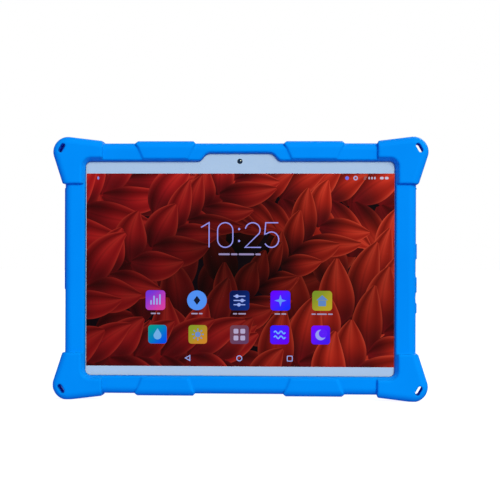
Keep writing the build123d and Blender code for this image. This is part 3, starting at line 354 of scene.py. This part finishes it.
class Drawing:
    """Flat shapes, each a little in front of the last, gathered into one mesh with a tint per point.
    The first stands start in front of the display, and each of the others step in front of the last."""

    def __init__(self, start, step):
        self.level = start
        self.step = step
        self.points = []
        self.faces = []
        self.tints = []

    def grid(self, rows, tint, closed=False):
        """A strip of quads over rows of points; tint is a colour or a function of x and z."""
        first = len(self.points)
        width = len(rows[0])
        for row in rows:
            for x, z in row:
                self.points.append((x, self.level, z))
                self.tints.append(tint(x, z) if callable(tint) else tint)
        count = len(rows)
        for i in range(count if closed else count - 1):
            here = first + i * width
            there = first + (i + 1) % count * width
            for j in range(width - 1):
                self.faces.append((here + j, here + j + 1, there + j + 1, there + j))
        self.level += self.step

    def panel(self, x, z, w, h, corner, tint, columns=6):
        """A rounded rectangle."""
        rows = []
        turns = 6
        for end, order in ((-1, range(turns, -1, -1)), (1, range(turns + 1))):
            for i in order:
                angle = TAU / 4 * i / turns
                half = w / 2 - corner * (1 - math.cos(angle))
                level = z + end * (h / 2 - corner * (1 - math.sin(angle)))
                rows.append([(x - half + 2 * half * j / columns, level) for j in range(columns + 1)])
        self.grid(rows, tint)

    def disc(self, x, z, radius, tint):
        """A ring whose hole is too small to see."""
        self.ring(x, z, 0.02 * radius, radius, tint)

    def ring(self, x, z, inner, outer, tint):
        rows = []
        count = 32
        for i in range(count):
            angle = TAU * i / count
            rows.append([(x + r * math.cos(angle), z + r * math.sin(angle)) for r in (outer, inner)])
        self.grid(rows, tint, True)

    def shape(self, outline, tint):
        """A filled outline round its own middle, which has to see all of it; the hole left there is
        too small to see."""
        hole = 0.01
        x = sum(p[0] for p in outline) / len(outline)
        z = sum(p[1] for p in outline) / len(outline)
        self.grid([[p, (x + (p[0] - x) * hole, z + (p[1] - z) * hole)] for p in outline], tint, True)

    def stroke(self, path, width, tint, closed=False):
        """A line of even width along a path."""
        rows = []
        count = len(path)
        for i, (x, z) in enumerate(path):
            before = path[i - 1] if i or closed else path[0]
            after = path[(i + 1) % count] if i < count - 1 or closed else path[-1]
            first = Vector((x - before[0], z - before[1]))
            last = Vector((after[0] - x, after[1] - z))
            first = first.normalized() if first.length else last.normalized()
            last = last.normalized() if last.length else first
            middle = (first + last).normalized()
            reach = width / 2 / max(0.5, middle.dot(last))
            side = Vector((-middle.y, middle.x)) * reach
            rows.append([(x + side.x, z + side.y), (x - side.x, z - side.y)])
        self.grid(rows, tint, closed)

    def piece(self, name, clip=()):
        """The drawing as one thin body, cut off at each (side, distance from the middle) of clip."""
        mesh = bpy.data.meshes.new(name)
        place = [(mid_x + x * MM, lcd_low.y - y * MM, mid_z + z * MM) for x, y, z in self.points]
        mesh.from_pydata(place, [], self.faces)
        layer = mesh.color_attributes.new("tint", "FLOAT_COLOR", "POINT")
        for i, tint in enumerate(self.tints):
            layer.data[i].color = tint
        work = bmesh.new()
        work.from_mesh(mesh)
        for side, limit in clip:
            where = Vector((mid_x, 0, mid_z)) + Vector(side) * limit * MM
            everything = work.verts[:] + work.edges[:] + work.faces[:]
            bmesh.ops.bisect_plane(
                work, geom=everything, dist=1e-7, plane_co=where, plane_no=Vector(side), clear_outer=True,
            )
        bmesh.ops.recalc_face_normals(work, faces=work.faces[:])
        for face in work.faces:
            if face.normal.y > 0:
                face.normal_flip()
        work.to_mesh(mesh)
        work.free()
        made = bpy.data.objects.new(name, mesh)
        scene.collection.objects.link(made)
        thick = made.modifiers.new("body", "SOLIDIFY")
        thick.thickness = self.step * 0.7 * MM
        thick.offset = -1.0
        made.data.materials.append(finishes["display"])
        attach(made, "tablet")
        return made


# Wallpaper: red leaves along curved stems, small and dim in the middle with dark gaps, broad
# towards the edges, and turning from crimson on the left to orange on the right.
dark = linear(9, 2, 7)
shade = linear(66, 7, 13)
crimson = linear(160, 20, 24)
scarlet = linear(168, 32, 20)
flame = linear(228, 92, 62)
# The lit area ends a little inside the panel's edges.
edges = [
    ((-1, 0, 0), half_w - 1.0),
    ((1, 0, 0), half_w - 0.6),
    ((0, 0, 1), half_h),
    ((0, 0, -1), half_h - 0.2),
]
hollow_z = 12
hollow_reach_x = 48
hollow_reach_z = 42


def hollow(x, z):
    """1 in the dim middle of the picture, falling to 0 towards its edges."""
    return math.exp(-((x / hollow_reach_x) ** 2 + ((z - hollow_z) / hollow_reach_z) ** 2))


def daylight(x, z):
    """How bright the picture is here: brightest at the top, and more so to the right than to the left."""
    high = z / half_h
    level = 0.64 + 0.12 * x / half_w + 0.55 * max(high, 0.0) + 0.3 * max(-high - 0.4, 0.0)
    return level * (1 - 0.82 * hollow(x, z))


def leaf(sheet, x, z, heading, length, width, bend, tone):
    """One leaf: dark at its root, with a soft fold on either side of its rib, and a bright rim."""
    rows = []
    tints = []
    steps = 16
    root = mixed(crimson, dark, 0.62 + 0.38 * hollow(x, z))
    flesh = mixed(crimson, scarlet, smooth(0.5 + x / half_w))
    glow = 0.7 + 0.3 * x / half_w
    across = [-1, -0.93, -0.82, -0.6, -0.34, -0.1, 0, 0.1, 0.34, 0.6, 0.82, 0.93, 1]
    spot = Vector((x, z))
    for i in range(steps + 1):
        along = i / steps
        turn = heading + bend * (along - 0.3)
        ahead = Vector((math.cos(turn), math.sin(turn)))
        side = Vector((-ahead.y, ahead.x))
        half = width * (0.01 + 0.49 * math.sin(math.pi * min(0.985, max(0.015, along)) ** 0.8) ** 0.74)
        row = []
        for share in across:
            point = spot + side * half * share
            row.append((point.x, point.y))
            rise = smooth(along * 1.6 - 0.1)
            fold = 0.5 + 0.5 * math.cos(share * math.pi * 1.7)
            rim = smooth(abs(share) * 6 - 5)
            under = 0.36 + 0.64 * fold if share > 0 else 0.66 + 0.34 * fold
            body = mixed(mixed(root, shade, smooth(along * 3)), flesh, rise)
            body = mixed(body, flame, glow * (0.32 * rim * rise + 0.30 * smooth(along * 1.5 - 0.5) * fold))
            vein = 0.75 if share == 0 else 1.0
            tints.append(scaled(body, tone * daylight(point.x, point.y) * under * vein))
        rows.append(row)
        spot = spot + ahead * length / steps
    start = len(sheet.points)
    sheet.grid(rows, dark)
    sheet.tints[start:] = tints


wallpaper = Drawing(start=0.004, step=0.0011)
wallpaper.grid([[(-half_w, -half_h), (half_w, -half_h)], [(-half_w, half_h), (half_w, half_h)]], dark)
chance = random.Random(41)
# Far leaves are dim and stand in rough rows, and near ones grow in pairs along the stems.
far_columns, far_rows = 10, 6
far_x, far_z = -126, 66
far_step_x, far_step_z = 25, 27
for i in range(far_columns * far_rows):
    x = far_x + i % far_columns * far_step_x + chance.uniform(-9, 9)
    z = far_z - i // far_columns * far_step_z + chance.uniform(-8, 8)
    leaf(
        wallpaper, x, z, chance.uniform(-0.4, 1.9), chance.uniform(34, 52), chance.uniform(20, 30),
        chance.uniform(-0.6, 0.6), chance.uniform(0.7, 1.0) * (0.85 - 0.55 * hollow(x, z)),
    )
pair_gap = 19
# Each stem: where it starts, its heading, its length and how far it curls.
stems = [
    (-130, 34, 0.52, 150, 0.25),
    (-60, 40, 0.20, 200, -0.45),
    (-126, -22, 0.48, 180, 0.35),
    (-62, -82, 0.72, 180, 0.10),
    (12, -88, 0.62, 150, 0.30),
    (-130, -68, 0.16, 130, -0.30),
    (66, -88, 0.85, 110, 0.20),
]
for x, z, heading, reach, curl in stems:
    spots = []
    spot = Vector((x, z))
    gone = 0.0
    while gone < reach:
        turn = heading + curl * gone / reach
        size = 1 - 0.6 * hollow(spot.x, spot.y)
        spots.append((spot.copy(), turn, size))
        spot += Vector((math.cos(turn), math.sin(turn))) * pair_gap * size
        gone += pair_gap * size
    for spot, turn, size in reversed(spots):
        for side in (1, -1):
            leaf(
                wallpaper, spot.x, spot.y, turn + side * chance.uniform(0.5, 1.0),
                size * chance.uniform(36, 52), size * chance.uniform(19, 27),
                -side * chance.uniform(0.2, 0.8), chance.uniform(0.85, 1.25),
            )
wallpaper.piece("screen_wallpaper", edges)

# Icons, clock and marks, on these levels above the middle of the display.
status_z = 65.5
clock_z = 25.3
date_z = 11.7
upper_icon_z = -20.9
caption_z = -30.3
lower_icon_z = -45.0
button_z = -61.7
marks = Drawing(start=0.205, step=0.0022)
pale = linear(150, 170, 235)
lilac = linear(150, 150, 236)


def towards(first, second, middle_x, middle_z, reach):
    """A tint that runs aslant from one colour to another, over a square reach wide."""
    slant = -0.8

    def tint(x, z):
        along = (x - middle_x) * math.cos(slant) + (z - middle_z) * math.sin(slant)
        return mixed(first, second, smooth(along / reach + 0.5))
    return tint


def dashes(x, z, widths, height, tint):
    """A line of plain dashes in place of words, centred on x."""
    gap = 0.8
    left = x - (sum(widths) + gap * (len(widths) - 1)) / 2
    for width in widths:
        marks.panel(left + width / 2, z, width, height, height * 0.45, tint, 2)
        left += width + gap


def bars(x, z):
    for i, tall in enumerate((3.2, 6.4, 4.6, 7.4)):
        marks.panel(x + (i - 1.5) * 2.1, z - 3.2 + tall / 2, 1.1, tall, 0.5, pale, 2)


def gem(x, z):
    marks.shape([(x, z + 3.2), (x + 2.4, z), (x, z - 3.2), (x - 2.4, z)], linear(16, 20, 44))


def sliders(x, z):
    for i, shift in enumerate((-1.8, 1.9, -0.4)):
        level = z + (1 - i) * 3.0
        marks.panel(x, level, 8.4, 0.75, 0.35, pale, 2)
        marks.disc(x + shift, level, 1.25, pale)


def spark(x, z):
    outline = []
    for i in range(8):
        reach = 4.2 if i % 2 == 0 else 1.35
        outline.append((x + reach * math.sin(TAU * i / 8), z + reach * math.cos(TAU * i / 8)))
    marks.shape(outline, linear(96, 150, 245))


def house(x, z):
    tone = linear(96, 134, 196)
    marks.shape([(x - 4.0, z + 0.4), (x, z + 4.0), (x + 4.0, z + 0.4)], tone)
    marks.panel(x, z - 1.8, 5.4, 4.0, 0.5, tone, 2)


def drop(x, z):
    outline = [(x, z + 4.2)]
    for i in range(13):
        angle = 0.45 - (math.pi + 0.9) * i / 12
        outline.append((x + 2.8 * math.cos(angle), z - 0.9 + 2.8 * math.sin(angle)))
    marks.shape(outline, linear(110, 170, 225))


def sun(x, z):
    tone = linear(104, 136, 200)
    marks.disc(x, z, 2.0, tone)
    for i in range(8):
        angle = TAU * i / 8
        marks.stroke([(x + r * math.cos(angle), z + r * math.sin(angle)) for r in (2.8, 4.2)], 0.8, tone)


def tiles(x, z):
    for i in (-1, 1):
        for j in (-1, 1):
            marks.panel(x + i * 2.4, z + j * 2.4, 3.4, 3.4, 0.8, linear(176, 164, 200), 2)


def wave(x, z):
    for level in (-1.7, 1.7):
        path = [(x - 4 + i * 0.5, z + level + 0.9 * math.sin(i * TAU / 8)) for i in range(17)]
        marks.stroke(path, 0.9, linear(110, 170, 250))


def moon(x, z):
    marks.disc(x, z, 3.7, linear(150, 160, 240))
    marks.disc(x + 1.7, z + 1.0, 3.0, linear(92, 30, 250))


# Each icon: its x, its two colours, its glyph and, in the upper row, the lengths of its dashes.
upper_icons = [
    (-59.5, linear(110, 52, 214), linear(214, 62, 160), bars, (3.6, 2.2)),
    (-30.1, None, linear(78, 140, 236), gem, (4.6, 2.6)),
    (0.0, linear(4, 22, 78), linear(8, 40, 120), sliders, (3.0, 5.4)),
    (28.9, linear(96, 0, 250), linear(24, 40, 255), spark, (4.0, 3.4)),
    (58.3, linear(120, 146, 40), linear(186, 166, 40), house, (3.0, 7.0, 3.4)),
]
lower_icons = [
    (-58.0, linear(0, 150, 140), linear(0, 80, 230), drop),
    (-29.4, linear(130, 150, 40), linear(204, 132, 40), sun),
    (0.0, linear(112, 66, 84), linear(96, 60, 96), tiles),
    (28.4, linear(50, 26, 255), linear(96, 0, 240), wave),
    (57.3, linear(110, 6, 255), linear(64, 24, 240), moon),
]
for x, first, second, glyph, words in upper_icons:
    if first is None:
        marks.disc(x, upper_icon_z, 7.0, second)
    else:
        marks.panel(x, upper_icon_z, 14.0, 14.0, 2.4, towards(first, second, x, upper_icon_z, 16.0))
    glyph(x, upper_icon_z)
    dashes(x, caption_z, words, 0.95, linear(160, 150, 184))
for x, first, second, glyph in lower_icons:
    marks.panel(x, lower_icon_z, 13.2, 13.2, 2.2, towards(first, second, x, lower_icon_z, 15.0))
    glyph(x, lower_icon_z)

# Buttons along the bottom edge: a triangle, a ring and a rounded square.
marks.stroke([(-35.0, button_z + 1.8), (-38.2, button_z), (-35.0, button_z - 1.8)], 0.6, pale, True)
marks.ring(0.0, button_z, 1.5, 2.1, pale)
square = []
steps = 24
for i in range(steps):
    angle = TAU * i / steps
    reach = max(abs(math.cos(angle)), abs(math.sin(angle))) ** 0.8
    square.append((35.6 + 1.8 * math.cos(angle) / reach, button_z + 1.8 * math.sin(angle) / reach))
marks.stroke(square, 0.55, pale, True)


def arc(x, z, wide, tall, start, sweep):
    """Part of an oval, as a path."""
    count = 14
    angles = [start + sweep * i / count for i in range(count + 1)]
    return [(x + wide * math.cos(angle), z + tall * math.sin(angle)) for angle in angles]


# The clock's figures, drawn as thin lines: the path of each, from -1 at its foot to 1 at its head.
half_turn = math.pi
figures = {
    "1": [(-0.55, 0.62), (0.10, 1.0), (0.10, -1.0)],
    "0": arc(0, 0.38, 0.62, 0.62, 0.0, half_turn) + arc(0, -0.38, 0.62, 0.62, half_turn, half_turn),
    "2": arc(0, 0.42, 0.60, 0.58, half_turn * 0.95, -half_turn * 1.12) + [(-0.62, -1.0), (0.68, -1.0)],
    "5": [(0.55, 1.0), (-0.46, 1.0), (-0.54, 0.08)]
    + arc(0.0, -0.37, 0.60, 0.63, half_turn * 0.72, -half_turn * 1.55),
}
half_figure = 8.7
clock_line = 0.78
for x, figure in ((-22.5, "1"), (-10.2, "0"), (9.2, "2"), (22.4, "5")):
    path = [(x + px * half_figure, clock_z + pz * half_figure) for px, pz in figures[figure]]
    marks.stroke(path, clock_line, lilac, figure == "0")
for side in (-1, 1):
    marks.disc(-0.4, clock_z + side * 4.2, 0.75, lilac)
dashes(0.0, date_z, (8.0, 4.6, 11.0, 3.8), 1.3, linear(146, 134, 178))

# Small marks along the top edge.
dashes(-100.5, status_z, (1.4,), 2.4, linear(120, 140, 226))
marks.disc(75.5, status_z, 1.3, linear(104, 110, 232))
marks.ring(81.5, status_z, 0.8, 1.6, linear(170, 170, 215))
low_z, high_z = status_z - 1.2, status_z + 1.2
marks.shape([(87.0, low_z), (88.6, low_z), (89.4, high_z), (87.8, high_z)], linear(150, 84, 84))
dashes(93.0, status_z, (1.2, 1.2, 1.2), 2.0, linear(180, 176, 205))
dashes(101.6, status_z, (2.6, 2.6), 1.8, linear(196, 190, 214))
screen_marks = marks.piece("screen_marks")
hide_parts("touch_sensor")


# Floor, light and camera.
centre = (cad_box[0] + cad_box[1]) / 2


def stage_floor():
    """A wide plain floor at the object's foot, which shows as white."""
    graph = Graph("floor")
    faint = graph.span(graph.noise(3.0), 0.28, 0.32)
    tone = graph.add("ShaderNodeCombineColor", {"Red": faint, "Green": faint, "Blue": faint}).outputs["Color"]
    material = graph.done(graph.principled({
        "Base Color": tone, "Roughness": 0.9, "Specular IOR Level": 0.0,
        "Emission Color": (1.0, 1.0, 1.0, 1.0), "Emission Strength": 0.88,
    }))
    reach = 60.0
    level = cad_box[0].z
    corners = [(-reach, -reach, level), (reach, -reach, level), (reach, reach, level), (-reach, reach, level)]
    mesh = bpy.data.meshes.new("floor")
    mesh.from_pydata(corners, [], [(0, 1, 2, 3)])
    floor = bpy.data.objects.new("floor", mesh)
    scene.collection.objects.link(floor)
    mesh.materials.append(material)
    floor.visible_diffuse = False
    floor.visible_glossy = False


def aim(thing, azimuth, elevation, distance, target):
    """Stands the thing round the target, looking at it; azimuth 0 is straight in front."""
    a, e = math.radians(azimuth), math.radians(elevation)
    back = Vector((math.sin(a) * math.cos(e), -math.cos(a) * math.cos(e), math.sin(e)))
    thing.location = target + back * distance
    thing.rotation_euler = back.to_track_quat("Z", "Y").to_euler()


def soft_sun(name, azimuth, elevation, strength, spread, colour):
    """A wide, far light, whose distance from the object changes nothing."""
    data = bpy.data.lights.new(name, "SUN")
    data.color = colour
    data.energy = strength
    data.angle = math.radians(spread)
    lamp = bpy.data.objects.new(name, data)
    scene.collection.objects.link(lamp)
    aim(lamp, azimuth, elevation, 3.0, centre)


stage_floor()
soft_sun("key", 26, 28, 3.32, 30, (1.0, 0.898, 0.575))
soft_sun("back", 150, 38, 1.2, 40, (1.0, 0.98, 0.86))

world = bpy.data.worlds.new("studio")
scene.world = world
world.use_nodes = True
tree = world.node_tree
tree.nodes.clear()


def backdrop_light(colour, strength):
    node = tree.nodes.new("ShaderNodeBackground")
    node.inputs["Color"].default_value = colour
    node.inputs["Strength"].default_value = strength
    return node.outputs["Background"]


def choose(factor, first, second):
    node = tree.nodes.new("ShaderNodeMixShader")
    for i, socket in enumerate((factor, first, second)):
        tree.links.new(socket, node.inputs[i])
    return node.outputs["Shader"]


# The room fills shadows with a cool light, mirrors dimly, and shows as plain white.
path_kind = tree.nodes.new("ShaderNodeLightPath").outputs
fill = backdrop_light((0.30, 0.50, 1.0, 1.0), 0.6)
mirrored = backdrop_light((1.0, 1.0, 1.0, 1.0), 0.03)
seen = backdrop_light((1.0, 1.0, 1.0, 1.0), 1.0)
unseen = choose(path_kind["Is Glossy Ray"], fill, mirrored)
room_light = choose(path_kind["Is Camera Ray"], unseen, seen)
end = tree.nodes.new("ShaderNodeOutputWorld")
tree.links.new(room_light, end.inputs["Surface"])

camera_data = bpy.data.cameras.new("camera")
camera_data.lens = 111.8
camera_data.sensor_width = 36.0
camera_data.shift_x = 0.0203
camera_data.shift_y = 0.0372
camera_data.clip_end = 200.0
camera = bpy.data.objects.new("camera", camera_data)
scene.collection.objects.link(camera)
aim(camera, 2.8, 0.0, 1.1, centre)
camera.rotation_euler.rotate_axis("Z", math.radians(0.18))
scene.camera = camera
scene.view_settings.view_transform = "Standard"
